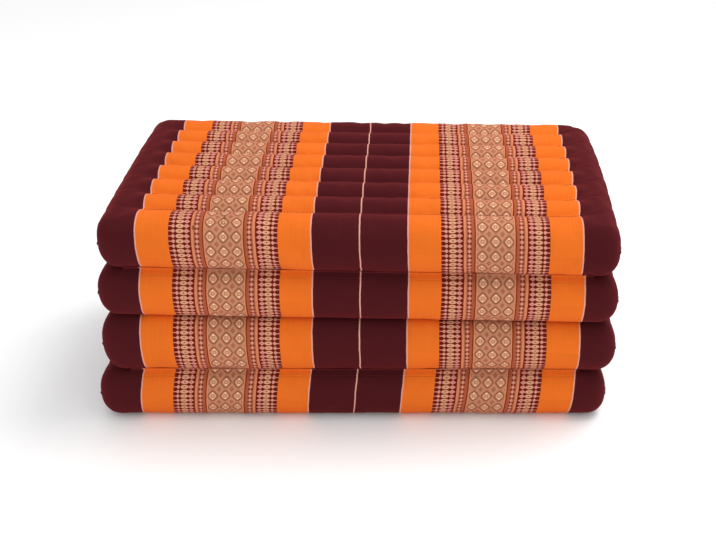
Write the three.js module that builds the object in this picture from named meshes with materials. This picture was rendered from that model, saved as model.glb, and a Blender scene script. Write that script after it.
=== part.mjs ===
// A stuffed floor mattress, folded in accordion fashion into a stack of four panels.
// Each panel is a filled pad sewn into eight channels that run across it. Narrow unfilled
// strips of the cover join the panels: at the front between panels 1 and 2 and between
// panels 3 and 4, and at the back between panels 2 and 3.
// Lengths are in millimetres. X runs across the mattress, Y to the back, Z up.

import * as THREE from 'three';

// Driving sizes
const WIDTH = 976;
const MIDDLE_CHANNELS = 6;
const CHANNEL_PITCH = 62;
const END_CHANNEL = 73;
const DEPTH = 2 * END_CHANNEL + MIDDLE_CHANNELS * CHANNEL_PITCH;

// Round of the pad's four edges: its reach inwards and the exponent of its curve
const EDGE_REACH = 39;
const EDGE_POWER = 2.3;

// Air between two pieces that lie on each other
const GAP = 0.4;

// How a face dips at its sewn lines: the depth of a valley, the flat share of a channel
// and the power of its curve
const FACES = {
  open: { depth: 13, flat: 0, power: 2 },
  pressed: { depth: 9, flat: 0.3, power: 2 },
  floor: { depth: 6, flat: 0.6, power: 1 },
};

// The valleys fade out over this margin at both sides, and draw the cloth in a little
const FADE_START = 100;
const FADE_END = 20;
const DRAW_IN = 0.006;

// The panels from the top down. front is the thickness at the middle of the front edge,
// left and back are what it gains towards those edges, crown what it gains in the middle.
// shift moves a panel to the right and spread widens it.
const PANELS = [
  { name: 'panel_1_top', front: 104, left: 1.3, back: 5.5, crown: 7.5,
    shift: 3.7, spread: 1.0, top: 'open', bottom: 'pressed' },
  { name: 'panel_2_upper', front: 100, left: 2.5, back: 6.5, crown: 0,
    shift: -4.2, spread: 1.014, top: 'pressed', bottom: 'pressed' },
  { name: 'panel_3_lower', front: 115, left: 10.4, back: 10.5, crown: 0,
    shift: -7.7, spread: 1.025, top: 'pressed', bottom: 'pressed' },
  { name: 'panel_4_bottom', front: 103.5, left: 2.9, back: 10.5, crown: 0,
    shift: -25, spread: 1.035, top: 'pressed', bottom: 'floor' },
];

// The hinge strips: the panel above each and the end of the stack where it lies
const HINGES = [
  { name: 'hinge_front_upper', above: 0, end: 'front' },
  { name: 'hinge_back', above: 1, end: 'back' },
  { name: 'hinge_front_lower', above: 2, end: 'front' },
];
const HINGE_INSET = 19;
const HINGE_THICKNESS = 3;
const HINGE_MARGIN = 46;
const HINGE_STATIONS = 8;

// Sampling of the solids
const EDGE_ANGLES = [0, 25, 45, 62, 76, 86];
const NOSE_ANGLES = [18, 38, 58, 74, 90];
const CHANNEL_STEPS = [0.2, 0.5, 0.8];

const COVER = { color: '#a8491f', roughness: 0.9, metalness: 0 };
const HINGE_COVER = { color: '#7a2a1c', roughness: 0.9, metalness: 0 };

const clamp = (value) => Math.min(1, Math.max(0, value));
const roundCos = (degrees) => Math.cos(THREE.MathUtils.degToRad(degrees)) ** (2 / EDGE_POWER);
const roundSin = (degrees) => Math.sin(THREE.MathUtils.degToRad(degrees)) ** (2 / EDGE_POWER);

// Thickness that a panel takes up in the stack at a place
function thickness(panel, x, y) {
  const depthShare = clamp(y / DEPTH);
  const crown = 4 * panel.crown * depthShare * (1 - depthShare);
  return panel.front - panel.left * (x / (WIDTH / 2)) + panel.back * depthShare + crown;
}

// Height of the top of a panel's place in the stack, and of the floor past the last one
function level(index, x, y) {
  return PANELS.slice(index).reduce((sum, panel) => sum + thickness(panel, x, y), 0);
}

// Place within the channel that holds y: 0 and 1 at its sewn lines, 0.5 at its crest
function channelShare(y) {
  if (y < END_CHANNEL) {
    return Math.max(0.5, 1 - (END_CHANNEL - y) / CHANNEL_PITCH);
  }
  if (y > DEPTH - END_CHANNEL) {
    return Math.min(0.5, (y - DEPTH + END_CHANNEL) / CHANNEL_PITCH);
  }
  return ((y - END_CHANNEL) / CHANNEL_PITCH) % 1;
}

// How far a face dips below its crests, at a place across and within a channel
function dip(face, across, share) {
  const fromCrest = Math.abs(2 * share - 1);
  const curve = clamp((fromCrest - face.flat) / (1 - face.flat)) ** face.power;
  const fade = clamp((WIDTH / 2 - FADE_END - Math.abs(across)) / (FADE_START - FADE_END));
  return face.depth * curve * fade;
}

// The outline of a panel from front to back: the distance from the front edge, the share
// of the thickness there and the place within its channel
function outline(scale) {
  const nose = NOSE_ANGLES.map((angle) => ({
    y: EDGE_REACH * (1 - scale * roundCos(angle)),
    height: scale * roundSin(angle),
  }));
  const middle = [{ y: END_CHANNEL, height: scale, share: 1 }];
  for (let channel = 0; channel < MIDDLE_CHANNELS; channel += 1) {
    const start = END_CHANNEL + channel * CHANNEL_PITCH;
    for (const share of CHANNEL_STEPS) {
      middle.push({ y: start + share * CHANNEL_PITCH, height: scale, share });
    }
    middle.push({ y: start + CHANNEL_PITCH, height: scale, share: 1 });
  }
  const tail = nose.map(({ y, height }) => ({ y: DEPTH - y, height })).reverse();
  return [...nose, ...middle, ...tail].map((point) => (
    { ...point, share: point.share ?? channelShare(point.y) }));
}

// Stations across a panel: the place on the cloth and how far the edge has closed there
function stations() {
  const straight = WIDTH / 2 - EDGE_REACH;
  const edge = EDGE_ANGLES.map((angle) => (
    { across: straight + EDGE_REACH * roundSin(angle), scale: roundCos(angle) }));
  const left = edge.map(({ across, scale }) => ({ across: -across, scale })).reverse();
  const middle = [-1, 0, 1].map((side) => (
    { across: side * (WIDTH / 2 - FADE_START), scale: 1 }));
  return [...left, ...middle, ...edge];
}

// A closed solid through rings of points. A ring starts at the front, goes over the top
// to the back and returns below, and both ends are closed between top and bottom.
function loft(rings) {
  const count = rings[0].length;
  const positions = rings.flat(2);
  const indices = [];
  const quad = (a, b, c, d) => indices.push(a, c, b, a, d, c);
  for (let ring = 0; ring + 1 < rings.length; ring += 1) {
    for (let point = 0; point < count; point += 1) {
      const next = (point + 1) % count;
      const near = ring * count;
      const far = near + count;
      quad(near + point, near + next, far + next, far + point);
    }
  }
  const last = (rings.length - 1) * count;
  for (let point = 0; point < count / 2; point += 1) {
    const below = (count - point) % count;
    const nextBelow = count - point - 1;
    const corners = [point, point + 1, nextBelow, below];
    const unique = corners.filter((corner, place) => corners.indexOf(corner) === place);
    for (let place = 1; place + 1 < unique.length; place += 1) {
      indices.push(unique[0], unique[place], unique[place + 1]);
      indices.push(last + unique[0], last + unique[place + 1], last + unique[place]);
    }
  }
  const geometry = new THREE.BufferGeometry();
  geometry.setAttribute('position', new THREE.Float32BufferAttribute(positions, 3));
  geometry.setIndex(indices);
  geometry.computeVertexNormals();
  return geometry;
}

// A point of a panel. side is 1 on its top face, -1 on its bottom face, 0 at its edge.
function panelPoint(index, station, point, side) {
  const panel = PANELS[index];
  const drawn = 1 - DRAW_IN * Math.abs(2 * point.share - 1) ** 4;
  const x = panel.shift + station.across * panel.spread * drawn;
  const y = point.y;
  const top = level(index, x, y) - GAP / 2;
  const bottom = level(index + 1, x, y) + (index + 1 < PANELS.length ? GAP / 2 : 0);
  const face = FACES[side > 0 ? panel.top : panel.bottom];
  const middle = (top + bottom) / 2;
  const half = (top - bottom) / 2;
  const relief = dip(face, station.across, point.share);
  return [x, y, middle + side * (half * point.height - relief * Math.abs(side))];
}

function panelGeometry(index) {
  const rings = stations().map((station) => {
    const points = outline(station.scale);
    const tip = { y: EDGE_REACH * (1 - station.scale), height: 0, share: 0.5 };
    const end = { ...tip, y: DEPTH - tip.y };
    return [
      panelPoint(index, station, tip, 0),
      ...points.map((point) => panelPoint(index, station, point, 1)),
      panelPoint(index, station, end, 0),
      ...points.toReversed().map((point) => panelPoint(index, station, point, -1)),
    ];
  });
  return loft(rings);
}

// Half of the opening between a panel's round edge and its neighbour, this far in
function halfOpening(panel, x, y, inset) {
  const nose = outline(1);
  const after = nose.findIndex((point) => point.y >= inset);
  const [from, to] = [nose[after - 1], nose[after]];
  const height = THREE.MathUtils.mapLinear(inset, from.y, to.y, from.height, to.height);
  return thickness(panel, x, y) / 2 * (1 - height);
}

// A hinge strip fills the bottom of the groove between two panels. Its corners run from
// the outer edge above, over the inner ones, to the outer edge below.
function hingeGeometry({ above, end }) {
  const upper = PANELS[above];
  const lower = PANELS[above + 1];
  const reach = WIDTH / 2 - HINGE_MARGIN;
  const middle = (upper.shift + lower.shift) / 2;
  const insets = [HINGE_INSET, HINGE_INSET + HINGE_THICKNESS];
  const rings = [];
  for (let station = 0; station <= HINGE_STATIONS; station += 1) {
    const x = middle + reach * (2 * station / HINGE_STATIONS - 1);
    const corner = (panel, inset, side) => {
      const y = end === 'front' ? inset : DEPTH - inset;
      const opening = halfOpening(panel, x, y, inset) - GAP;
      return [x, y, level(above + 1, x, y) + side * opening];
    };
    const corners = [
      ...insets.map((inset) => corner(upper, inset, 1)),
      ...insets.toReversed().map((inset) => corner(lower, inset, -1)),
    ];
    rings.push(end === 'front' ? corners : mirrored(corners));
  }
  return loft(rings);
}

// The same four corners in the order that a strip seen from the back needs
function mirrored([outerTop, innerTop, innerBottom, outerBottom]) {
  return [innerTop, outerTop, outerBottom, innerBottom];
}

function cover(name, geometry, finish) {
  const mesh = new THREE.Mesh(geometry, new THREE.MeshStandardMaterial(finish));
  mesh.name = name;
  return mesh;
}

const mattress = new THREE.Group();
PANELS.forEach((panel, index) => {
  mattress.add(cover(panel.name, panelGeometry(index), COVER));
});
HINGES.forEach((hinge) => {
  mattress.add(cover(hinge.name, hingeGeometry(hinge), HINGE_COVER));
});

// The origin is the middle of the stack's footprint
const middle = new THREE.Box3().setFromObject(mattress).getCenter(new THREE.Vector3());
mattress.position.set(-middle.x, -middle.y, 0);

export default mattress;
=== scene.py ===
"""A stuffed floor mattress folded in four, with a striped and patterned woven cover.

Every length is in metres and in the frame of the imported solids. A point on the cover has
two cloth coordinates, kept in the UV map "cloth": u runs across the mattress from the
middle of the stripes, v runs along the stripes. The stripes, the woven band and the weave
all follow from those two.
"""

import math

import bpy
import numpy as np
from mathutils import Matrix, Vector, noise
from mathutils.bvhtree import BVHTree


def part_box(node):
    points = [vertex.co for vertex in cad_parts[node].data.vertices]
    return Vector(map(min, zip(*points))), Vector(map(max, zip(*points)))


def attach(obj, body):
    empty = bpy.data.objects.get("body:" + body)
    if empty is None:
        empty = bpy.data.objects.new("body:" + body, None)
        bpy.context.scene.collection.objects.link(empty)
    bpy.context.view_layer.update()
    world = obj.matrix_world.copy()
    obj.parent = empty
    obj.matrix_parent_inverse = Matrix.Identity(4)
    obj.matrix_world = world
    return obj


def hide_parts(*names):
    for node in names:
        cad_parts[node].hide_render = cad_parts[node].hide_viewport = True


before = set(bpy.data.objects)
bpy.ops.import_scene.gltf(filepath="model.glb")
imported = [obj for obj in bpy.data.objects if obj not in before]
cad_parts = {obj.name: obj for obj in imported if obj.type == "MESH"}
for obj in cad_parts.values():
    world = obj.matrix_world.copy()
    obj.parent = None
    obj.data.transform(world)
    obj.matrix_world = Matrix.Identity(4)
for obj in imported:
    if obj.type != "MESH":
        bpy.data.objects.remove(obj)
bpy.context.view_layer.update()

MM = 0.001

# The mattress's own sizes, the same as those of its solids: its width and channels, the
# reach and exponent of a pad's round edges, the air between two pads, and the share by
# which the sewn lines draw a pad in
WIDTH = 976 * MM
MIDDLE_CHANNELS = 6
CHANNEL_PITCH = 62 * MM
END_CHANNEL = 73 * MM
DEPTH = 2 * END_CHANNEL + MIDDLE_CHANNELS * CHANNEL_PITCH
EDGE_REACH = 39 * MM
EDGE_POWER = 2.3
GAP = 0.4 * MM
DRAW_IN = 0.006

# How a face dips at its sewn lines: depth, flat share of a channel, power of the curve
FACES = {
    "open": (13 * MM, 0.0, 2.0),
    "pressed": (9 * MM, 0.3, 2.0),
    "floor": (6 * MM, 0.6, 1.0),
}

# The distances from a panel's sides between which its valleys fade out
FADE_START = 100 * MM
FADE_END = 20 * MM

# The panels from the top down, as in the solids, in millimetres. phase slides the woven
# pattern along the cloth, slide moves it to the right, bow moves what lies near both sides
# and lean moves the top of the front to the right and its bottom to the left.
PANELS = [
    dict(name="panel_1_top", front=104, left=1.3, back=5.5, crown=7.5, shift=3.7,
         spread=1.0, top="open", bottom="pressed", phase=0, slide=0,
         bow=-3.8, lean=0),
    dict(name="panel_2_upper", front=100, left=2.5, back=6.5, crown=0, shift=-4.2,
         spread=1.014, top="pressed", bottom="pressed", phase=-13.6,
         slide=3.9, bow=-1.5, lean=2.0),
    dict(name="panel_3_lower", front=115, left=10.4, back=10.5, crown=0, shift=-7.7,
         spread=1.025, top="pressed", bottom="pressed", phase=3.0,
         slide=1.9, bow=-4.4, lean=0.9),
    dict(name="panel_4_bottom", front=103.5, left=2.9, back=10.5, crown=0, shift=-25,
         spread=1.035, top="pressed", bottom="floor", phase=-7.4,
         slide=5.0, bow=-2.5, lean=6.5),
]

# The strips that join the panels: the panel above each and the end where it lies. Then
# their margin at the sides, how far in their edges and their middle lie, their thickness,
# their distance from the pads and the exponent of their fold
HINGES = [
    dict(name="hinge_front_upper", above=0, end="front"),
    dict(name="hinge_back", above=1, end="back"),
    dict(name="hinge_front_lower", above=2, end="front"),
]
HINGE_MARGIN = 46 * MM
HINGE_OUTER_INSET = 14 * MM
HINGE_INNER_INSET = 24 * MM
HINGE_CLOTH = 1.2 * MM
HINGE_CLEARANCE = 0.1 * MM
HINGE_CURVE = 1.3

# How far the middle of the stripes lies to the right of the cloth's own, and the length
# of cloth from a panel's foremost line to where its pattern leans furthest
PATTERN_OFFSET = 8.3 * MM
NOSE_CLOTH = 60 * MM

# The stripes, in millimetres from the middle of the cloth outwards. Both sides are alike.
LINE_HALF = 1.25
INNER_LINE = 88.7
OUTER_LINE = 410.5
BAND_CENTRE = 249.0
BAND_HALF = 100.4

# Repeats of the woven band in millimetres: its rows, its teeth and its columns
ROW_PITCH = 28.0
TOOTH_PITCH = ROW_PITCH / 3
COLUMN_PITCH = 24.2

# The photograph's camera: where it aims, how far off it stands, how it is turned in
# degrees, and its focal length in pixels of the photograph
CAMERA_TARGET = Vector((25.85, -259.0, 337.4)) * MM
CAMERA_DISTANCE = 1.8833
CAMERA_AZIMUTH = -4.653
CAMERA_ELEVATION = 27.095
CAMERA_ROLL = 2.726
FOCAL_PIXELS = 1022.7
PHOTO_WIDTH = 716
SENSOR_WIDTH = 36.0
VIEW_LIMIT = 50.0

# The least length that anything is divided by, and a height above the whole stack
TINY = 1e-9
ABOVE_ALL = 1.0


def stack_origin():
    """Where the stack's own origin, the middle of its front edge, lies in the frame."""
    low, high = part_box(PANELS[0]["name"])
    return np.array([(low.x + high.x) / 2 - PANELS[0]["shift"] * MM, low.y, 0.0])


ORIGIN = stack_origin()


# The camera

def make_camera():
    """The photograph's camera."""
    turn = math.radians(CAMERA_AZIMUTH)
    tilt = math.radians(CAMERA_ELEVATION)
    roll = math.radians(CAMERA_ROLL)
    forward = Vector((math.sin(turn) * math.cos(tilt), math.cos(turn) * math.cos(tilt),
                      -math.sin(tilt)))
    level_right = Vector((math.cos(turn), -math.sin(turn), 0.0))
    down = forward.cross(level_right)
    right = level_right * math.cos(roll) + down * math.sin(roll)
    up = level_right * math.sin(roll) - down * math.cos(roll)
    turned = Matrix((right, up, -forward)).transposed().to_4x4()
    data = bpy.data.cameras.new("camera")
    data.sensor_width = SENSOR_WIDTH
    data.lens = FOCAL_PIXELS / PHOTO_WIDTH * SENSOR_WIDTH
    data.clip_end = VIEW_LIMIT
    camera = bpy.data.objects.new("camera", data)
    place = CAMERA_TARGET - forward * CAMERA_DISTANCE
    camera.matrix_world = Matrix.Translation(place) @ turned
    bpy.context.scene.collection.objects.link(camera)
    bpy.context.scene.camera = camera


# The form of the panels

def smooth(share):
    """An even share from 0 to 1, slowed down at both ends."""
    return share * share * (3 - 2 * share)


def round_cos(angles):
    """The cosine of a round edge, which is squarer than a circle."""
    return np.cos(np.radians(angles)) ** (2 / EDGE_POWER)


def round_sin(angles):
    """The sine of the same edge."""
    return np.sin(np.radians(angles)) ** (2 / EDGE_POWER)


def thickness(panel, x, y):
    """The height that a panel takes up in the stack at a place."""
    share = np.clip(y / DEPTH, 0, 1)
    crown = 4 * panel["crown"] * share * (1 - share)
    across = x / (WIDTH / 2)
    return (panel["front"] - panel["left"] * across + panel["back"] * share + crown) * MM


def level(index, x, y):
    """Height of the top of a panel's place in the stack."""
    total = np.zeros_like(x)
    for panel in PANELS[index:]:
        total = total + thickness(panel, x, y)
    return total


def channel_share(y):
    """0 and 1 at the sewn lines of the channel that holds y, 0.5 at its crest."""
    middle = ((y - END_CHANNEL) / CHANNEL_PITCH) % 1
    front = np.maximum(0.5, 1 - (END_CHANNEL - y) / CHANNEL_PITCH)
    back = np.minimum(0.5, (y - DEPTH + END_CHANNEL) / CHANNEL_PITCH)
    return np.where(y < END_CHANNEL, front, np.where(y > DEPTH - END_CHANNEL, back, middle))


def dip(face, across, share):
    """How far a face lies below its crests. The valleys fade out towards both sides."""
    depth, flat, power = FACES[face]
    curve = np.clip((np.abs(2 * share - 1) - flat) / (1 - flat), 0, 1) ** power
    fade = np.clip((WIDTH / 2 - FADE_END - np.abs(across)) / (FADE_START - FADE_END), 0, 1)
    return depth * curve * smooth(fade)


# How finely the meshes are made
NOSE_STEPS = 11
CHANNEL_STEPS = 10
SHOULDER_STEPS = 4
STATION_STEP = 9.5 * MM
EDGE_STEPS = 8
EDGE_LAST_ANGLE = 89
HINGE_STATIONS = 96
HINGE_FOLDS = 10
NOSE_ARC_STEPS = 40

# The simulation of the filled cloth: its settings, its length, how near its front and
# back edges a pressed face is free, and how near a sewn line a point counts as on it
CLOTH_SETTINGS = dict(
    quality=4, mass=0.2, tension_stiffness=12, compression_stiffness=12,
    bending_stiffness=0.02, shrink_min=-0.02, use_pressure=True,
    uniform_pressure_force=4, vertex_group_mass="held",
)
CLOTH_FRAMES = 20
OPEN_MARGIN = 75 * MM
LINE_TOLERANCE = 0.1 * MM

# What is kept of the swelling: what stays of it after this many passes of blur is taken
# off, and the puckers that are left have a limit, a share and a height on a round edge
# from which they fade out
PUCKER_PASSES = 24
PUCKER_LIMIT = 4 * MM
PUCKER_SHARE = 0.65
PUCKER_FADE_START = 0.7
PUCKER_FADE_LENGTH = 0.25

# Lumps of the filling, and what is left of them where the cloth is held
LUMP_SIZE = 0.05
LUMP_HEIGHT = 1 * MM
HELD_LUMPS = 0.5

# The top pad's plan: how far its right side bows out, how far that side is drawn in at the
# front and the left side at the back, and the round of its back corners: how far it
# reaches, and each side's exponent
RIGHT_BOW = 4 * MM
RIGHT_FRONT_TRIM = 4.5 * MM
LEFT_BACK_TRIM = 4 * MM
CORNER_REACH = 90 * MM
CORNER_POWERS = [(-1, 8.0), (1, 4.0)]

# Sewing. A stitch rises out of the cloth by one share of its radius in its middle, less
# another share towards its ends. A welt reaches this many rings inwards at its ends.
STITCH_MARGIN = 42 * MM
STITCH_PITCH = 6 * MM
STITCH_LENGTH = 4 * MM
STITCH_RADIUS = 0.5 * MM
STITCH_SHARES = (0.0, 0.25, 0.5, 0.75, 1.0)
STITCH_RADII = [share * STITCH_RADIUS for share in (0.3, 1.0, 1.0, 1.0, 0.3)]
STITCH_RISE = 0.9
STITCH_DIP = 1.6
STITCH_SIDES = 5
WELT_RADIUS = 1.3 * MM
WELT_RINGS = 3
WELT_SIDES = 8


def half_outline():
    """From the front tip to the back tip over one face, as (place, reach, height).

    place is a point's distance from the front, or on a round edge that of the edge's inner
    end. reach is how far the point lies from there on a full section, which shrinks
    towards the sides. height is its share of the half thickness."""
    angles = np.linspace(0, 90, NOSE_STEPS + 1)
    nose_reach = EDGE_REACH * round_cos(angles)
    nose_height = round_sin(angles)
    shoulder = np.linspace(EDGE_REACH, END_CHANNEL, SHOULDER_STEPS + 1)[1:]
    even = np.linspace(0, 1, CHANNEL_STEPS + 1)[1:]
    steps = ((1 - np.cos(np.pi * even)) / 2 + even) / 2
    channels = [END_CHANNEL + (channel + steps) * CHANNEL_PITCH
                for channel in range(MIDDLE_CHANNELS)]
    middle = np.concatenate([shoulder, *channels, (DEPTH - shoulder)[::-1][1:]])
    place = np.concatenate([np.full(len(angles), EDGE_REACH), middle,
                            np.full(len(angles), DEPTH - EDGE_REACH)])
    reach = np.concatenate([-nose_reach, np.zeros(len(middle)), nose_reach[::-1]])
    height = np.concatenate([nose_height, np.ones(len(middle)), nose_height[::-1]])
    return place, reach, height


def stations():
    """Places across a panel, how far its edge has closed there and the cloth's own u."""
    straight = WIDTH / 2 - EDGE_REACH
    angles = np.linspace(0, EDGE_LAST_ANGLE, EDGE_STEPS + 1)[1:]
    edge = straight + EDGE_REACH * round_sin(angles)
    closed = round_cos(angles)
    count = int(round(2 * straight / STATION_STEP))
    inner = np.linspace(-straight, straight, count + 1)
    across = np.concatenate([-edge[::-1], inner, edge])
    scale = np.concatenate([closed[::-1], np.ones(count + 1), closed])
    rise = np.mean([panel["front"] for panel in PANELS]) * MM / 2
    steps = np.hypot(np.diff(across), np.diff(scale) * rise)
    cloth = np.concatenate([[0.0], np.cumsum(steps)])
    return across, scale, cloth - cloth[-1] / 2


def rounded_plan(points, panel):
    """The top pad's points with its sides and back corners as they lie, from above."""
    x, y = points[..., 0], points[..., 1]
    middle, half = panel["shift"] * MM, WIDTH / 2 * panel["spread"]
    right = np.clip((x - middle) / half, 0, 1) ** 2
    left = np.clip((middle - x) / half, 0, 1) ** 2
    share = np.clip(y / DEPTH, 0, 1)
    x = x + RIGHT_BOW * right * np.sin(np.pi * share)
    x = x - RIGHT_FRONT_TRIM * right * (1 - share) + LEFT_BACK_TRIM * left * share
    for side, power in CORNER_POWERS:
        outwards = np.clip((side * (x - middle) - half) / CORNER_REACH + 1, 0, None)
        backwards = np.clip((y - DEPTH) / CORNER_REACH + 1, 0, None)
        longer = np.maximum(np.maximum(outwards, backwards), TINY)
        curved = (outwards ** power + backwards ** power) ** (1 / power)
        pull = longer / np.maximum(curved, TINY)
        pull = np.where((outwards > 0) & (backwards > 0), pull, 1.0)
        x = x + side * outwards * (pull - 1) * CORNER_REACH
        y = y + backwards * (pull - 1) * CORNER_REACH
    return np.stack([x, y, points[..., 2]], -1)


def panel_points(index):
    """The panel's grid of points, one ring for each station, and its cloth coordinates.

    Each ring starts at the front, goes over the top to the back and returns below. The
    length of cloth round the panel is kept as its girth, a whole number of rows."""
    panel = PANELS[index]
    place, reach, height = half_outline()
    across, scale, cloth = stations()
    rings = []
    for side, face in ((1, panel["top"]), (-1, panel["bottom"])):
        y = place[None, :] + reach[None, :] * scale[:, None]
        share = channel_share(np.broadcast_to(place + reach, y.shape))
        drawn = 1 - DRAW_IN * np.abs(2 * share - 1) ** 4
        x = panel["shift"] * MM + across[:, None] * panel["spread"] * drawn
        top = level(index, x, y) - GAP / 2
        bottom = level(index + 1, x, y)
        if index + 1 < len(PANELS):
            bottom = bottom + GAP / 2
        lift = (top - bottom) / 2 * height[None, :] * scale[:, None]
        relief = dip(face, across[:, None], share) * (height[None, :] > 0)
        rings.append(np.stack([x, y, (top + bottom) / 2 + side * (lift - relief)], -1))
    points = np.concatenate([rings[0], rings[1][:, -2:0:-1]], axis=1)
    middle = points[len(points) // 2]
    along = np.hypot(*np.diff(np.vstack([middle, middle[:1]])[:, 1:], axis=0).T)
    v = np.concatenate([[0.0], np.cumsum(along)])
    if index == 0:
        points = rounded_plan(points, panel)
    rows = round(v[-1] / (ROW_PITCH * MM))
    panel["girth"] = rows * ROW_PITCH * MM
    return points, cloth - PATTERN_OFFSET, v * panel["girth"] / v[-1]


def laid_pattern(panel, u, v):
    """Cloth coordinates once the pattern is moved to where it lies on a panel: u for each
    station and point, v for each point."""
    moved = panel["slide"] * MM + panel["bow"] * MM * (u / (OUTER_LINE * MM)) ** 2
    girth = panel["girth"]
    turns = [0, NOSE_CLOTH, girth / 2 + NOSE_CLOTH, girth - NOSE_CLOTH, girth]
    lean = panel["lean"] * MM * np.interp(v, turns, [0, 1, 1, -1, 0])
    return u[:, None] - moved[:, None] - lean[None, :], v + panel["phase"] * MM


def grid_mesh(name, points, u, v):
    """A closed mesh through rings of points, with its cloth coordinates as a UV map."""
    rows, count = points.shape[:2]
    ring, point = np.meshgrid(np.arange(rows - 1), np.arange(count), indexing="ij")
    after = (point + 1) % count
    near, far = ring * count, (ring + 1) * count
    quads = np.stack([near + point, far + point, far + after, near + after], -1)
    quads = quads.reshape(-1, 4)
    uv_u = np.stack([u[ring, point], u[ring + 1, point], u[ring + 1, point + 1],
                     u[ring, point + 1]], -1).reshape(-1)
    uv_v = np.stack([v[point], v[point], v[point + 1], v[point + 1]], -1).reshape(-1)
    faces = quads.tolist()
    uvs = np.stack([uv_u, uv_v], -1).tolist()
    for end, order in ((0, 1), ((rows - 1) * count, -1)):
        for step in range(count // 2):
            corners = [step, step + 1, count - step - 1, (count - step) % count]
            corners = list(dict.fromkeys(corners))[::order]
            faces.append([end + corner for corner in corners])
            edge_u = u[0] if end == 0 else u[-1]
            uvs.extend([[float(edge_u[corner]), float(v[corner])] for corner in corners])
    mesh = bpy.data.meshes.new(name)
    mesh.from_pydata(points.reshape(-1, 3).tolist(), [], faces)
    layer = mesh.uv_layers.new(name="cloth")
    layer.data.foreach_set("uv", np.array(uvs, np.float32).ravel())
    mesh.polygons.foreach_set("use_smooth", [True] * len(faces))
    mesh.update()
    obj = bpy.data.objects.new(name, mesh)
    bpy.context.scene.collection.objects.link(obj)
    return obj


def unevenness(points, panel):
    """The lumps of the filling, as a distance along each point's normal."""
    lumps = np.empty(points.shape[:2])
    for ring, row in enumerate(points):
        for place, point in enumerate(row):
            where = Vector(point) / LUMP_SIZE + Vector((0, 0, panel["front"]))
            lumps[ring, place] = noise.noise(where)
    return lumps * LUMP_HEIGHT


def grid_normals(points):
    """The outward direction at each point of a panel's grid."""
    across = np.gradient(points, axis=0)
    along = (np.roll(points, -1, axis=1) - np.roll(points, 1, axis=1)) / 2
    normals = np.cross(across, along)
    return normals / np.maximum(np.linalg.norm(normals, axis=-1, keepdims=True), TINY)


def softened(field, passes):
    """A field on a panel's grid, blurred along both of its directions."""
    for _ in range(passes):
        field = (np.roll(field, 1, axis=1) + np.roll(field, -1, axis=1) + 2 * field) / 4
        padded = np.concatenate([field[:1], field, field[-1:]])
        field = (padded[:-2] + padded[2:] + 2 * field) / 4
    return field


def held_points(index):
    """Where the cloth can't swell: 1 at sewn lines, at both ends and on pressed faces."""
    panel = PANELS[index]
    place, _, _ = half_outline()
    across, _, _ = stations()
    from_line = np.abs(((place - END_CHANNEL) / CHANNEL_PITCH + 0.5) % 1 - 0.5)
    sewn = from_line * CHANNEL_PITCH < LINE_TOLERANCE
    sewn &= place > END_CHANNEL - LINE_TOLERANCE
    sewn &= place < DEPTH - END_CHANNEL + LINE_TOLERANCE
    sides = []
    for face in (panel["top"], panel["bottom"]):
        covered = (place > OPEN_MARGIN) & (place < DEPTH - OPEN_MARGIN)
        held = sewn | (covered if face != "open" else False)
        sides.append(np.broadcast_to(held, (len(across), len(place))))
    held = np.concatenate([sides[0], sides[1][:, -2:0:-1]], axis=1).astype(float)
    held[[0, 1, -2, -1]] = 1
    return held


def swell(panels):
    """Blow the panels up a little between their sewn lines and keep the puckers."""
    for obj, _, held in panels:
        group = obj.vertex_groups.new(name="held")
        group.add(np.flatnonzero(held.ravel() > 0.5).tolist(), 1.0, "REPLACE")
        cloth = obj.modifiers.new("cloth", "CLOTH")
        for name, value in CLOTH_SETTINGS.items():
            setattr(cloth.settings, name, value)
        cloth.settings.effector_weights.gravity = 0
        cloth.point_cache.frame_end = CLOTH_FRAMES
    for number in range(1, CLOTH_FRAMES + 1):
        bpy.context.scene.frame_set(number)
    shapes = bpy.context.evaluated_depsgraph_get()
    puckers = []
    for obj, points, _ in panels:
        swollen = np.empty(points.size, np.float32)
        obj.evaluated_get(shapes).data.vertices.foreach_get("co", swollen)
        moved = swollen.reshape(points.shape) - points
        puckers.append(moved - softened(moved, PUCKER_PASSES))
    for obj, _, _ in panels:
        obj.modifiers.remove(obj.modifiers["cloth"])
        obj.vertex_groups.clear()
    bpy.context.scene.frame_set(1)
    return puckers


def pucker_fade(panel):
    """1 where puckers stay, falling to 0 where a round edge meets a pressed face."""
    _, _, height = half_outline()
    pressed = 1 - np.clip((height - PUCKER_FADE_START) / PUCKER_FADE_LENGTH, 0, 1)
    top, bottom = [np.ones_like(height) if panel[face] == "open" else pressed
                   for face in ("top", "bottom")]
    return np.concatenate([top, bottom[-2:0:-1]])


def settle(index, points, pucker):
    """Add puckers and lumps to a panel without letting it leave its place in the stack."""
    size = np.linalg.norm(pucker, axis=-1, keepdims=True)
    pucker = pucker * np.minimum(1, PUCKER_LIMIT / np.maximum(size, TINY))
    pucker = pucker * pucker_fade(PANELS[index])[None, :, None]
    lumps = unevenness(points, PANELS[index])[..., None] * grid_normals(points)
    held = held_points(index)[..., None]
    settled = points + PUCKER_SHARE * pucker + lumps * (1 - HELD_LUMPS * held)
    x, y = points[..., 0] - ORIGIN[0], points[..., 1] - ORIGIN[1]
    ceiling = level(index, x, y) - GAP / 2
    ground = level(index + 1, x, y) + (GAP / 2 if index + 1 < len(PANELS) else 0)
    if PANELS[index]["top"] == "open":
        ceiling = ceiling + LUMP_HEIGHT
    settled[..., 2] = np.clip(settled[..., 2], ground, ceiling)
    settled[[0, -1]] = points[[0, -1]]
    return settled


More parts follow.
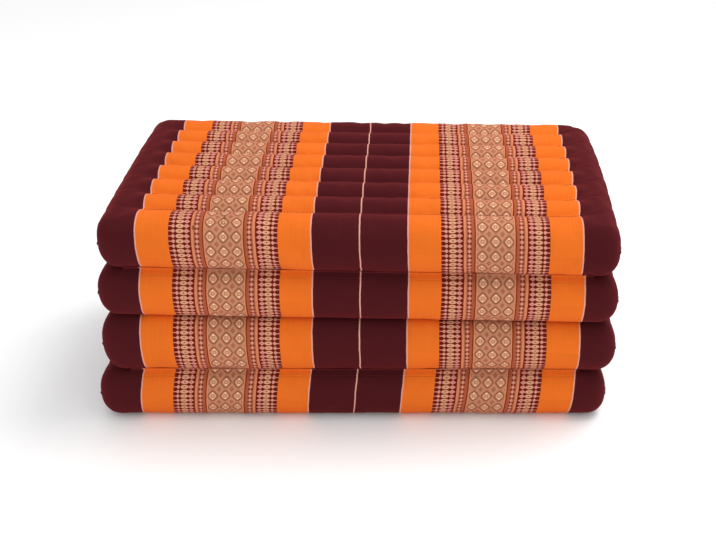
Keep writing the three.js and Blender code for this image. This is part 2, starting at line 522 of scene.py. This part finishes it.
def make_panels(material):
    """The four pads, each as its object and its grid of points."""
    panels = []
    for index, panel in enumerate(PANELS):
        points, u, v = panel_points(index)
        points = points + ORIGIN
        obj = grid_mesh("cover_" + panel["name"], points, *laid_pattern(panel, u, v))
        panels.append((obj, points, held_points(index)))
    puckers = swell(panels)
    made = []
    for index, (obj, points, _) in enumerate(panels):
        points = settle(index, points, puckers[index])
        obj.data.vertices.foreach_set("co", points.astype(np.float32).ravel())
        obj.data.update()
        finer = obj.modifiers.new("finer", "SUBSURF")
        finer.levels = finer.render_levels = 1
        obj.data.materials.append(material)
        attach(obj, "root")
        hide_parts(PANELS[index]["name"])
        made.append((obj, points))
    return made


# The hinge strips

def nose_height(inset):
    """Share of the half thickness that a panel's round edge has this far in."""
    return (1 - (1 - inset / EDGE_REACH) ** EDGE_POWER) ** (1 / EDGE_POWER)


def nose_arc(half, inset):
    """Length of cloth from the foremost point of a panel to a place on its round edge."""
    angles = np.linspace(0, np.arccos(1 - inset / EDGE_REACH), NOSE_ARC_STEPS)
    insets = EDGE_REACH * (1 - np.cos(angles))
    return float(np.hypot(np.diff(insets), np.diff(half * nose_height(insets))).sum())


def make_hinge(hinge, material):
    """A strip of the cover without filling, folded into the groove between two panels."""
    upper, lower = PANELS[hinge["above"]], PANELS[hinge["above"] + 1]
    reach = WIDTH / 2 - HINGE_MARGIN
    x = np.linspace(-reach, reach, HINGE_STATIONS + 1)[:, None]
    x = x + (upper["shift"] + lower["shift"]) / 2 * MM
    share = np.linspace(1, -1, HINGE_FOLDS + 1)[None, :]
    outward = np.abs(share) ** HINGE_CURVE
    inset = HINGE_INNER_INSET - (HINGE_INNER_INSET - HINGE_OUTER_INSET) * outward
    mouth = 1 - nose_height(HINGE_OUTER_INSET + HINGE_CLOTH)
    front = hinge["end"] == "front"
    layers = []
    for depth in (0.0, HINGE_CLOTH):
        y = inset + depth + 0 * x
        y = y if front else DEPTH - y
        half = np.where(share > 0, thickness(upper, x, y), thickness(lower, x, y)) / 2
        height = level(hinge["above"] + 1, x, y) + share * (half * mouth - HINGE_CLEARANCE)
        layers.append(np.stack([x + 0 * y, y, height], -1))
    points = np.concatenate([layers[0], layers[1][:, ::-1]], axis=1)
    if not front:
        points = points[:, ::-1]
    middle = points[HINGE_STATIONS // 2]
    steps = np.hypot(*np.diff(middle[:HINGE_FOLDS + 1, 1:], axis=0).T)
    arc = np.concatenate([[0.0], np.cumsum(steps)])
    v = nose_arc(thickness(lower, 0.0, 0.0 if front else DEPTH) / 2, HINGE_OUTER_INSET)
    if front:
        v = v + np.concatenate([arc[::-1], arc, arc[-1:]])
    else:
        back = len(half_outline()[0]) - 1
        v = panel_points(hinge["above"] + 1)[2][back] - v
        v = v - np.concatenate([arc, arc[::-1], arc[:1]])
    u = (x[:, 0] - lower["shift"] * MM) / lower["spread"] - PATTERN_OFFSET
    obj = grid_mesh("strip_" + hinge["name"], points + ORIGIN, *laid_pattern(lower, u, v))
    obj.data.materials.append(material)
    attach(obj, "root")
    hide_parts(hinge["name"])


# Thread and seams

def join_mesh(name, parts, material):
    """One object from many small meshes, each as its points and its faces."""
    vertices, faces, start = [], [], 0
    for points, polygons in parts:
        vertices.extend(points)
        faces.extend([[start + corner for corner in polygon] for polygon in polygons])
        start += len(points)
    mesh = bpy.data.meshes.new(name)
    mesh.from_pydata([tuple(vertex) for vertex in vertices], [], faces)
    mesh.polygons.foreach_set("use_smooth", [True] * len(faces))
    mesh.update()
    obj = bpy.data.objects.new(name, mesh)
    bpy.context.scene.collection.objects.link(obj)
    obj.data.materials.append(material)
    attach(obj, "root")


def tube(route, radii, sides):
    """A closed tube along a level route, with a radius for each of its points."""
    route = np.asarray(route)
    forward = np.gradient(route, axis=0)
    forward /= np.linalg.norm(forward, axis=1, keepdims=True)
    side = np.cross(forward, (0, 0, 1))
    side /= np.linalg.norm(side, axis=1, keepdims=True)
    rise = np.cross(side, forward)
    turn = np.arange(sides) * 2 * np.pi / sides
    sideways = side[:, None] * np.cos(turn)[None, :, None]
    upwards = rise[:, None] * np.sin(turn)[None, :, None]
    points = route[:, None] + (sideways + upwards) * np.asarray(radii)[:, None, None]
    faces = []
    for step in range(len(route) - 1):
        for corner in range(sides):
            after = (corner + 1) % sides
            faces.append([step * sides + corner, step * sides + after,
                          (step + 1) * sides + after, (step + 1) * sides + corner])
    faces.append(list(range(sides))[::-1])
    faces.append([(len(route) - 1) * sides + corner for corner in range(sides)])
    return points.reshape(-1, 3), faces


def make_stitches(cover, points, material):
    """Rows of stitches in the valleys of the open top face."""
    surface = BVHTree.FromObject(cover, bpy.context.evaluated_depsgraph_get())
    place, reach, _ = half_outline()
    row_end = WIDTH / 2 - STITCH_MARGIN
    parts = []
    for line in range(MIDDLE_CHANNELS + 1):
        column = int(np.argmin(np.abs(place + reach - END_CHANNEL - line * CHANNEL_PITCH)))
        row = points[:, column]
        for x in np.arange(-row_end, row_end, STITCH_PITCH):
            route = []
            for share in STITCH_SHARES:
                at = x + share * STITCH_LENGTH + ORIGIN[0]
                y = np.interp(at, row[:, 0], row[:, 1])
                hit = surface.ray_cast(Vector((at, y, ABOVE_ALL)), Vector((0, 0, -1)))[0]
                lift = STITCH_RADIUS * (STITCH_RISE - STITCH_DIP * (2 * share - 1) ** 2)
                route.append((at, y, hit.z + lift))
            parts.append(tube(route, STITCH_RADII, STITCH_SIDES))
    join_mesh("stitches_top", parts, material)


def make_seams(panels, material):
    """The welts where the two cloths of each pad are sewn together at its sides, and at
    the back of the first and last pad, where the mattress ends."""
    place, _, _ = half_outline()
    back = len(place) - 1
    parts = []
    for index, (_, points) in enumerate(panels):
        for side in (0, -1):
            inward = range(WELT_RINGS, 0, -1) if side == 0 else range(-WELT_RINGS - 1, -1)
            front = [points[ring, 0] for ring in inward]
            rear = [points[ring, back] for ring in inward][::-1]
            top, bottom = points[side, 1:back], points[side, :back:-1]
            edge = list((top + bottom) / 2)
            route = np.array(front + edge + rear)
            parts.append(tube(route, np.full(len(route), WELT_RADIUS), WELT_SIDES))
        if index in (0, len(PANELS) - 1):
            route = points[EDGE_STEPS:-EDGE_STEPS, back]
            parts.append(tube(route, np.full(len(route), WELT_RADIUS), WELT_SIDES))
    join_mesh("edge_seams", parts, material)


# Material: a small language for arithmetic in shader nodes

class Field:
    """A number that varies over the surface, as the output of a node."""

    def __init__(self, tree, socket):
        self.tree = tree
        self.socket = socket

    def math(self, operation, *others, clamp=False):
        node = self.tree.nodes.new("ShaderNodeMath")
        node.operation = operation
        node.use_clamp = clamp
        for slot, value in enumerate((self, *others)):
            if isinstance(value, Field):
                self.tree.links.new(value.socket, node.inputs[slot])
            else:
                node.inputs[slot].default_value = value
        return Field(self.tree, node.outputs[0])

    def __add__(self, other):
        return self.math("ADD", other)

    def __sub__(self, other):
        return self.math("SUBTRACT", other)

    def __mul__(self, other):
        return self.math("MULTIPLY", other)

    def __truediv__(self, other):
        return self.math("DIVIDE", other)

    def size(self):
        return self.math("ABSOLUTE")

    def power(self, exponent):
        return self.math("POWER", exponent)

    def least(self, other):
        return self.math("MINIMUM", other)

    def most(self, other):
        return self.math("MAXIMUM", other)

    def wave(self, period, start=0.0):
        """Distance from the nearest multiple of the period, both ways."""
        return ((self - start + period / 2).math("FLOORED_MODULO", period)
                - period / 2)

    def below(self, edge, soft):
        """1 where the field is under the edge, 0 over it, with a soft step between."""
        return ((self - edge) * (-1.0 / soft)).math("ADD", 0.5, clamp=True)

    def within(self, low, high, soft):
        return self.below(high, soft) * (self.below(low, soft) * -1.0 + 1.0)


def srgb(*channels):
    """A colour given in the 0 to 255 steps of a screen, as linear values."""
    def linear(value):
        value = value / 255
        return value / 12.92 if value <= 0.04045 else ((value + 0.055) / 1.055) ** 2.4
    return (*[linear(channel) for channel in channels], 1.0)


class Dye:
    """A colour that varies over the surface."""

    def __init__(self, tree, colour):
        self.tree = tree
        self.colour = colour

    def over(self, colour, share):
        """Another colour laid over this one where share is 1."""
        node = self.tree.nodes.new("ShaderNodeMix")
        node.data_type = "RGBA"
        self.tree.links.new(share.socket, node.inputs["Factor"])
        under, upper = [socket for socket in node.inputs if socket.type == "RGBA"]
        self.tree.links.new(self.colour, under)
        upper.default_value = colour
        return Dye(self.tree, next(s for s in node.outputs if s.type == "RGBA"))

    def scaled(self, share):
        """This colour made lighter or darker by a field round 1."""
        node = self.tree.nodes.new("ShaderNodeVectorMath")
        node.operation = "SCALE"
        self.tree.links.new(self.colour, node.inputs[0])
        self.tree.links.new(share.socket, node.inputs["Scale"])
        return Dye(self.tree, node.outputs[0])


# The colours of the cloth, of its stains and of the thread
MAROON = srgb(68, 22, 26)
ORANGE = srgb(219, 106, 34)
PALE_LINE = srgb(210, 150, 134)
COMB_DARK = srgb(101, 26, 12)
PINK = srgb(203, 137, 122)
CREAM = srgb(204, 149, 117)
SALMON = srgb(202, 123, 89)
GAP_BROWN = srgb(144, 91, 63)
ROSE = srgb(169, 86, 72)
BEAD = srgb(197, 144, 119)
TERRACOTTA = srgb(153, 83, 58)
DARK_LINE = srgb(110, 41, 20)
LIGHT_LINE = srgb(197, 129, 98)
TAN = srgb(176, 117, 89)
BROWN = srgb(124, 76, 47)
BRIGHT = srgb(232, 188, 160)
FAINT = srgb(192, 134, 105)
STAIN = srgb(88, 62, 24)
THREAD = srgb(90, 32, 28)

# Distances in the woven band, in millimetres from its edge: where the comb begins and
# ends, where its bulbs, eyes and seeds are centred, where the column of beads is centred,
# and where the field of lozenges begins
COMB_START = 0.3
COMB_END = 42.0
BULB_PLACE = 9.4
EYE_PLACE = 21.4
SEED_PLACE = 34.0
BEAD_PLACE = 52.7
FIELD_START = 66.6

# The plain lines, which lie before the column of beads or behind it: where each begins and
# ends, how soft its edges are, and its colour
LINES_BEFORE_BEADS = [
    (COMB_END, 46.6, 0.6, SALMON),
    (46.6, 49.2, 0.6, GAP_BROWN),
    (49.2, 57.0, 0.6, ROSE),
]
LINES_BEHIND_BEADS = [
    (57.0, 61.7, 0.6, TERRACOTTA),
    (61.9, 64.2, 0.6, DARK_LINE),
    (64.6, 67.0, 0.8, LIGHT_LINE),
]

# Half the width and half the height of each figure of the band, in millimetres
BULB_SIZE = (4.4, 3.9)
EYE_SIZE = (7.4, 3.9)
PUPIL_SIZE = (2.0, 0.9)
SEED_SIZE = (6.2, 4.2)
SEED_DOT_SIZE = (1.2, 1.0)
BEAD_SIZE = (2.4, 2.9)
SMALL_LOZENGE_SIZE = (7.6, 9.8)
LARGE_LOZENGE_SIZE = (8.2, 9.2)
RING_SIZE = (2.7, 3.0)
HIGHLIGHT_SIZE = (1.9, 1.9)
HIGHLIGHT_PLACE = 5.8

# The stains, in the same way, and how far the hook's tail lies behind it, the streak and
# the spot before it, and the spot to its left
TAIL_SIZE = (1.6, 9.0)
CURL_SIZE = (3.9, 4.4)
SPOT_SIZE = (2.2, 4.5)
TAIL_BEHIND = 13.0
STREAK_BEFORE = 12.0
SPOT_LEFT = 54.5
STAIN_STRENGTH = 0.7


def ellipse(x, y, half_width, half_height):
    """A field that is 1 on an ellipse and less inside it."""
    return (x / half_width).power(2.0) + (y / half_height).power(2.0)


def lozenge(x, y, half_width, half_height, power=1.0):
    """A field that is 1 on a lozenge, or on a rounder one with a higher power."""
    return (x / half_width).size().power(power) + (y / half_height).size().power(power)


def comb(dye, edge, v):
    """The dark comb at each side of the band: its teeth, eyes and seeds."""
    row = v.wave(TOOTH_PITCH)
    dye = dye.over(COMB_DARK, edge.within(COMB_START, COMB_END, 0.5))
    stem = row.size().below(0.8, 0.7) * edge.within(0.6, 10.0, 0.8)
    bulb = lozenge(edge - BULB_PLACE, row, *BULB_SIZE).below(1.0, 0.3) * edge.below(12.4, 0.6)
    dye = dye.over(PINK, stem.most(bulb))
    eye = edge - EYE_PLACE
    dye = dye.over(CREAM, ellipse(eye, row, *EYE_SIZE).below(1.0, 0.3))
    dye = dye.over(COMB_DARK, ellipse(eye, row, *PUPIL_SIZE).below(1.0, 0.8))
    seed = edge - SEED_PLACE
    dye = dye.over(PINK, lozenge(seed, row, *SEED_SIZE).below(1.0, 0.3))
    return dye.over(ROSE, ellipse(seed, row, *SEED_DOT_SIZE).below(1.0, 0.9))


def guard_lines(dye, edge, v):
    """The plain lines and the column of beads between the comb and the lozenges."""
    row = v.wave(TOOTH_PITCH)
    between = v.wave(TOOTH_PITCH, TOOTH_PITCH / 2)
    for start, end, soft, colour in LINES_BEFORE_BEADS:
        dye = dye.over(colour, edge.within(start, end, soft))
    bead = edge - BEAD_PLACE
    blocks = (bead.size() - 2.8).size().below(1.4, 0.6)
    dye = dye.over(COMB_DARK, blocks * between.size().below(1.9, 0.8))
    dye = dye.over(BEAD, ellipse(bead, row, *BEAD_SIZE).below(1.0, 0.5))
    for start, end, soft, colour in LINES_BEHIND_BEADS:
        dye = dye.over(colour, edge.within(start, end, soft))
    return dye


def diamonds(dye, edge, centre, v):
    """The field of large and small lozenges in the middle of the band."""
    field = edge.below(FIELD_START, 0.6) * -1.0 + 1.0
    x, y = centre.wave(COLUMN_PITCH), v.wave(ROW_PITCH)
    x_half = centre.wave(COLUMN_PITCH, COLUMN_PITCH / 2)
    y_half = v.wave(ROW_PITCH, ROW_PITCH / 2)
    dye = dye.over(TAN, field)
    small = lozenge(x_half, y_half, *SMALL_LOZENGE_SIZE)
    dye = dye.over(FAINT, (small - 1.0).size().below(0.13, 0.12) * field)
    dye = dye.over(BROWN, (small - 0.34).size().below(0.10, 0.14) * field)
    large = lozenge(x, y, *LARGE_LOZENGE_SIZE, power=1.3)
    dye = dye.over(BROWN, large.below(1.38, 0.4) * field)
    dye = dye.over(CREAM, large.below(0.92, 0.3) * field)
    ring = ellipse(x, y, *RING_SIZE)
    dye = dye.over(BROWN, (ring - 1.0).size().below(0.3, 0.5) * field)
    highlight = ellipse(x, y.size() - HIGHLIGHT_PLACE, *HIGHLIGHT_SIZE)
    return dye.over(BRIGHT, highlight.below(1.0, 0.7) * field)


def texture(tree, cloth, scales, detail=2.0, distortion=0.0):
    """Noise over the cloth coordinates, from 0 to 1, with its scales along u and v."""
    mapping = tree.nodes.new("ShaderNodeMapping")
    mapping.inputs["Scale"].default_value = (*scales, 1.0)
    tree.links.new(cloth.outputs["UV"], mapping.inputs["Vector"])
    node = tree.nodes.new("ShaderNodeTexNoise")
    node.noise_dimensions = "2D"
    node.inputs["Scale"].default_value = 1.0
    node.inputs["Detail"].default_value = detail
    node.inputs["Distortion"].default_value = distortion
    tree.links.new(mapping.outputs[0], node.inputs["Vector"])
    return Field(tree, node.outputs[0])


def bump(tree, height, strength, distance, before=None):
    """A bump node over a field of heights, on top of the one before it."""
    node = tree.nodes.new("ShaderNodeBump")
    node.inputs["Strength"].default_value = strength
    node.inputs["Distance"].default_value = distance
    tree.links.new(height.socket, node.inputs["Height"])
    if before is not None:
        tree.links.new(before.outputs[0], node.inputs["Normal"])
    return node


def mark(dye, u, v):
    """Small olive stains near the front of the left band: a hook on one lozenge, a short
    streak below it and a spot on the salmon line."""
    x, y = u + BAND_CENTRE, v - 2 * ROW_PITCH
    tail = ellipse(x - 0.6, y - TAIL_BEHIND, *TAIL_SIZE).below(1.0, 0.5)
    curl = (ellipse(x - 0.4, y, *CURL_SIZE) - 1.0).size().below(0.5, 0.3)
    hook = tail.most(curl * (x + y).below(2.0, 2.0))
    before = y + STREAK_BEFORE
    streak = x.size().below(0.8, 0.6) * before.size().below(5.0, 1.0) * 0.5
    spot = ellipse(x + SPOT_LEFT, before, *SPOT_SIZE).below(1.0, 0.6)
    return dye.over(STAIN, hook.most(streak).most(spot) * STAIN_STRENGTH)


def woven_pattern(tree, u, v, stained):
    """The stripes and, in both orange ones, the woven band."""
    across = u.size()
    centre = across - BAND_CENTRE
    edge = centre.size() * -1.0 + BAND_HALF
    base = tree.nodes.new("ShaderNodeRGB")
    base.outputs[0].default_value = MAROON
    dye = Dye(tree, base.outputs[0])
    dye = dye.over(ORANGE, across.within(INNER_LINE, OUTER_LINE, 0.5))
    for line in (0.0, INNER_LINE, OUTER_LINE):
        dye = dye.over(PALE_LINE, (across - line).size().below(LINE_HALF, 0.5))
    dye = comb(dye, edge, v)
    dye = guard_lines(dye, edge, v)
    dye = diamonds(dye, edge, centre, v)
    return mark(dye, u, v) if stained else dye


# The cloth's noises, in repeats for each metre along u and v: the waver of the lines, the
# uneven threads of warp and weft, the cast of the dye and the small puckers
WAVER_SCALES = (60.0, 60.0)
WARP_SCALES = (900.0, 9.0)
WEFT_SCALES = (12.0, 700.0)
CAST_SCALES = (9.0, 9.0)
PUCKER_SCALES = (70.0, 16.0)

# Distance between two threads of the weave, and how far the lines waver, in millimetres
THREAD_PITCH = 1.1
WAVER = 1.2

# How much each noise changes the tone of the cloth or thread
WARP_TONE = 0.2
WEFT_TONE = 0.06
CAST_TONE = 0.18
GRAIN_TONE = 0.5

# What the crossings, the warp and the weft add to the height of the threads
CROSSING_HEIGHT = 0.5
WARP_HEIGHT = 1.2
WEFT_HEIGHT = 0.8

# The strength and depth of each bump
WEAVE_BUMP = (0.35, 0.25 * MM)
PUCKER_BUMP = (0.25, 2.0 * MM)
GRAIN_BUMP = (0.4, 0.3 * MM)

# The shader's settings that are the same all over
CLOTH_FINISH = {
    "Roughness": 0.85,
    "Sheen Weight": 0.19,
    "Sheen Roughness": 0.5,
    "Sheen Tint": (1.0, 0.1, 0.1, 1.0),
    "Specular IOR Level": 0.02,
}
THREAD_FINISH = {
    "Roughness": 0.8,
    "Specular IOR Level": 0.1,
}
THREAD_GRAIN_SCALE = 900.0


def cloth_material(name, stained):
    """Matt cotton with the whole pattern, and with its stains where it has them."""
    material = bpy.data.materials.new(name)
    material.use_nodes = True
    tree = material.node_tree
    shader = tree.nodes["Principled BSDF"]
    cloth = tree.nodes.new("ShaderNodeUVMap")
    cloth.uv_map = "cloth"
    split = tree.nodes.new("ShaderNodeSeparateXYZ")
    tree.links.new(cloth.outputs["UV"], split.inputs[0])
    waver = texture(tree, cloth, WAVER_SCALES) - 0.5
    straight = Field(tree, split.outputs["X"]) * (1 / MM)
    u = straight + waver * WAVER
    v = Field(tree, split.outputs["Y"]) * (1 / MM)
    dye = woven_pattern(tree, u, v, stained)

    warp = texture(tree, cloth, WARP_SCALES, detail=3.0)
    weft = texture(tree, cloth, WEFT_SCALES, detail=3.0)
    cast = texture(tree, cloth, CAST_SCALES, detail=3.0)
    tone = (warp - 0.5) * WARP_TONE + (weft - 0.5) * WEFT_TONE
    tone = tone + (cast - 0.5) * CAST_TONE + 1.0
    tree.links.new(dye.scaled(tone).colour, shader.inputs["Base Color"])

    over = (straight * (2 * math.pi / THREAD_PITCH)).math("SINE")
    under = (v * (2 * math.pi / THREAD_PITCH)).math("SINE")
    threads = over * under * CROSSING_HEIGHT
    threads = threads + (warp - 0.5) * WARP_HEIGHT + (weft - 0.5) * WEFT_HEIGHT
    fine = bump(tree, threads, *WEAVE_BUMP)
    puckers = texture(tree, cloth, PUCKER_SCALES, detail=3.0, distortion=0.4)
    broad = bump(tree, puckers, *PUCKER_BUMP, before=fine)
    tree.links.new(broad.outputs[0], shader.inputs["Normal"])
    for socket, value in CLOTH_FINISH.items():
        shader.inputs[socket].default_value = value
    return material


def thread_material(name, colour):
    """The plain, grainy surface of sewing thread, and of a welt as narrow as one."""
    material = bpy.data.materials.new(name)
    material.use_nodes = True
    tree = material.node_tree
    shader = tree.nodes["Principled BSDF"]
    place = tree.nodes.new("ShaderNodeNewGeometry")
    twist = tree.nodes.new("ShaderNodeTexNoise")
    twist.inputs["Scale"].default_value = THREAD_GRAIN_SCALE
    twist.inputs["Detail"].default_value = 2.0
    tree.links.new(place.outputs["Position"], twist.inputs["Vector"])
    grain = Field(tree, twist.outputs[0])
    base = tree.nodes.new("ShaderNodeRGB")
    base.outputs[0].default_value = colour
    dye = Dye(tree, base.outputs[0]).scaled((grain - 0.5) * GRAIN_TONE + 1.0)
    tree.links.new(dye.colour, shader.inputs["Base Color"])
    tree.links.new(bump(tree, grain, *GRAIN_BUMP).outputs[0], shader.inputs["Normal"])
    for socket, value in THREAD_FINISH.items():
        shader.inputs[socket].default_value = value
    return material


# Floor and light
FLOOR_HALF = 6.0
FLOOR_COLOUR = (0.98, 0.98, 0.98, 1)
FLOOR_ROUGHNESS = 0.9

# The room's light, and what is taken from it high up on the left
ROOM_STRENGTH = 1.03
LEFT_LOSS = 0.85

# The lamps: name, place, aim, width in metres and power in watts
LAMPS = [
    ("key", (1.4, 0.4, 2.9), (0, 0, 0.4), 1.6, 52),
    ("fill", (-1.6, -3.0, 0.6), (0, 0, 0.1), 1.6, 14),
]


def make_floor():
    """The plain white ground that the mattress lies on, which is no part of it."""
    mesh = bpy.data.meshes.new("floor")
    corners = [(-1, -1), (1, -1), (1, 1), (-1, 1)]
    mesh.from_pydata([(x * FLOOR_HALF, y * FLOOR_HALF, 0) for x, y in corners], [],
                     [(0, 1, 2, 3)])
    floor = bpy.data.objects.new("floor", mesh)
    bpy.context.scene.collection.objects.link(floor)
    material = bpy.data.materials.new("floor")
    material.use_nodes = True
    shader = material.node_tree.nodes["Principled BSDF"]
    shader.inputs["Base Color"].default_value = FLOOR_COLOUR
    shader.inputs["Roughness"].default_value = FLOOR_ROUGHNESS
    floor.data.materials.append(material)


def make_light(name, location, aim, size, power):
    """A square lamp that is turned towards its aim."""
    data = bpy.data.lights.new(name, "AREA")
    data.shape = "SQUARE"
    data.size = size
    data.energy = power
    light = bpy.data.objects.new(name, data)
    light.location = location
    direction = Vector(aim) - Vector(location)
    light.rotation_euler = direction.to_track_quat("-Z", "Y").to_euler()
    bpy.context.scene.collection.objects.link(light)


def light_scene():
    """A white room that is dimmer high up on the left, and its lamps."""
    bpy.context.scene.view_settings.view_transform = "Standard"
    world = bpy.data.worlds.new("studio")
    world.use_nodes = True
    tree = world.node_tree
    direction = tree.nodes.new("ShaderNodeTexCoord")
    split = tree.nodes.new("ShaderNodeSeparateXYZ")
    tree.links.new(direction.outputs["Generated"], split.inputs[0])
    leftward = Field(tree, split.outputs["X"]).least(0.0)
    upward = Field(tree, split.outputs["Z"]).most(0.0)
    strength = leftward * upward * LEFT_LOSS + ROOM_STRENGTH
    background = tree.nodes["Background"]
    background.inputs["Color"].default_value = (1, 1, 1, 1)
    tree.links.new(strength.socket, background.inputs["Strength"])
    bpy.context.scene.world = world
    for lamp in LAMPS:
        make_light(*lamp)


make_camera()
cover_cloth = cloth_material("cover_cloth", stained=False)
top_cloth = cloth_material("top_cloth", stained=True)
thread = thread_material("sewing_thread", THREAD)
welt = thread_material("welt_cloth", MAROON)
pads = make_panels(cover_cloth)
pads[0][0].data.materials[0] = top_cloth
for strip in HINGES:
    make_hinge(strip, cover_cloth)
make_stitches(*pads[0], thread)
make_seams(pads, welt)
make_floor()
light_scene()
